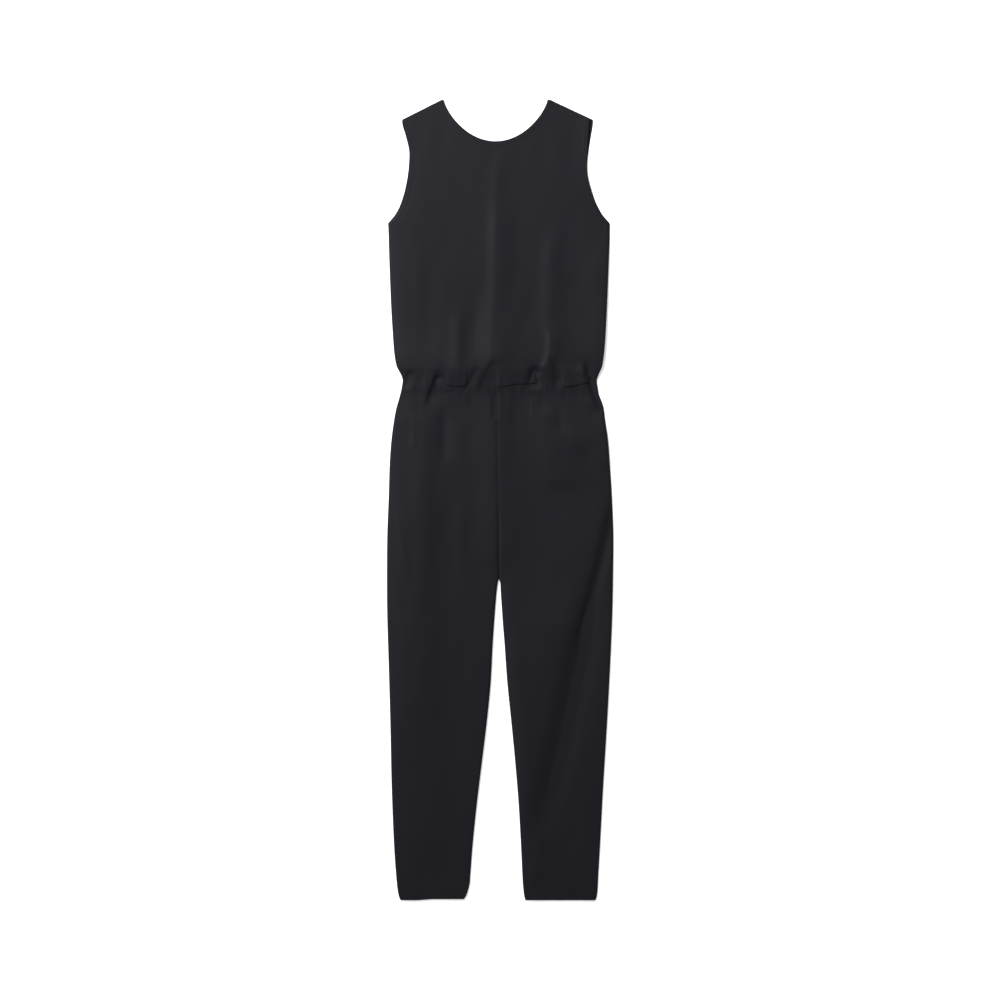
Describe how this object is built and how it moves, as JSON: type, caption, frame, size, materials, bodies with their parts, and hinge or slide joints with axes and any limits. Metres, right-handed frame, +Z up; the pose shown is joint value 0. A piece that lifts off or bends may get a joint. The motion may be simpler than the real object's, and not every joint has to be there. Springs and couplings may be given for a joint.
{
  "type": "jumpsuit",
  "caption": "Sleeveless jumpsuit with a scooped neck, a bodice bloused over a gathered elastic waist and slim tapered ankle-length trousers, lying flat face up.",
  "frame": {"origin": "middle of the garment's outline, on the surface it lies on", "axes": "+Y towards the shoulders, +X to the right of the garment as seen from above its front, +Z up out of its front"},
  "size_m": [0.4078, 1.44, 0.0105],
  "materials": {
    "crepe": "soft black woven crepe, nearly matt"
  },
  "bodies": {
    "root": {"bodice_front": "crepe", "bodice_back_left": "crepe", "bodice_back_right": "crepe", "waist_casing_front": "crepe", "waist_casing_back": "crepe", "trouser_front_left": "crepe", "trouser_front_right": "crepe", "trouser_back_left": "crepe", "trouser_back_right": "crepe"}
  },
  "joints": []
}
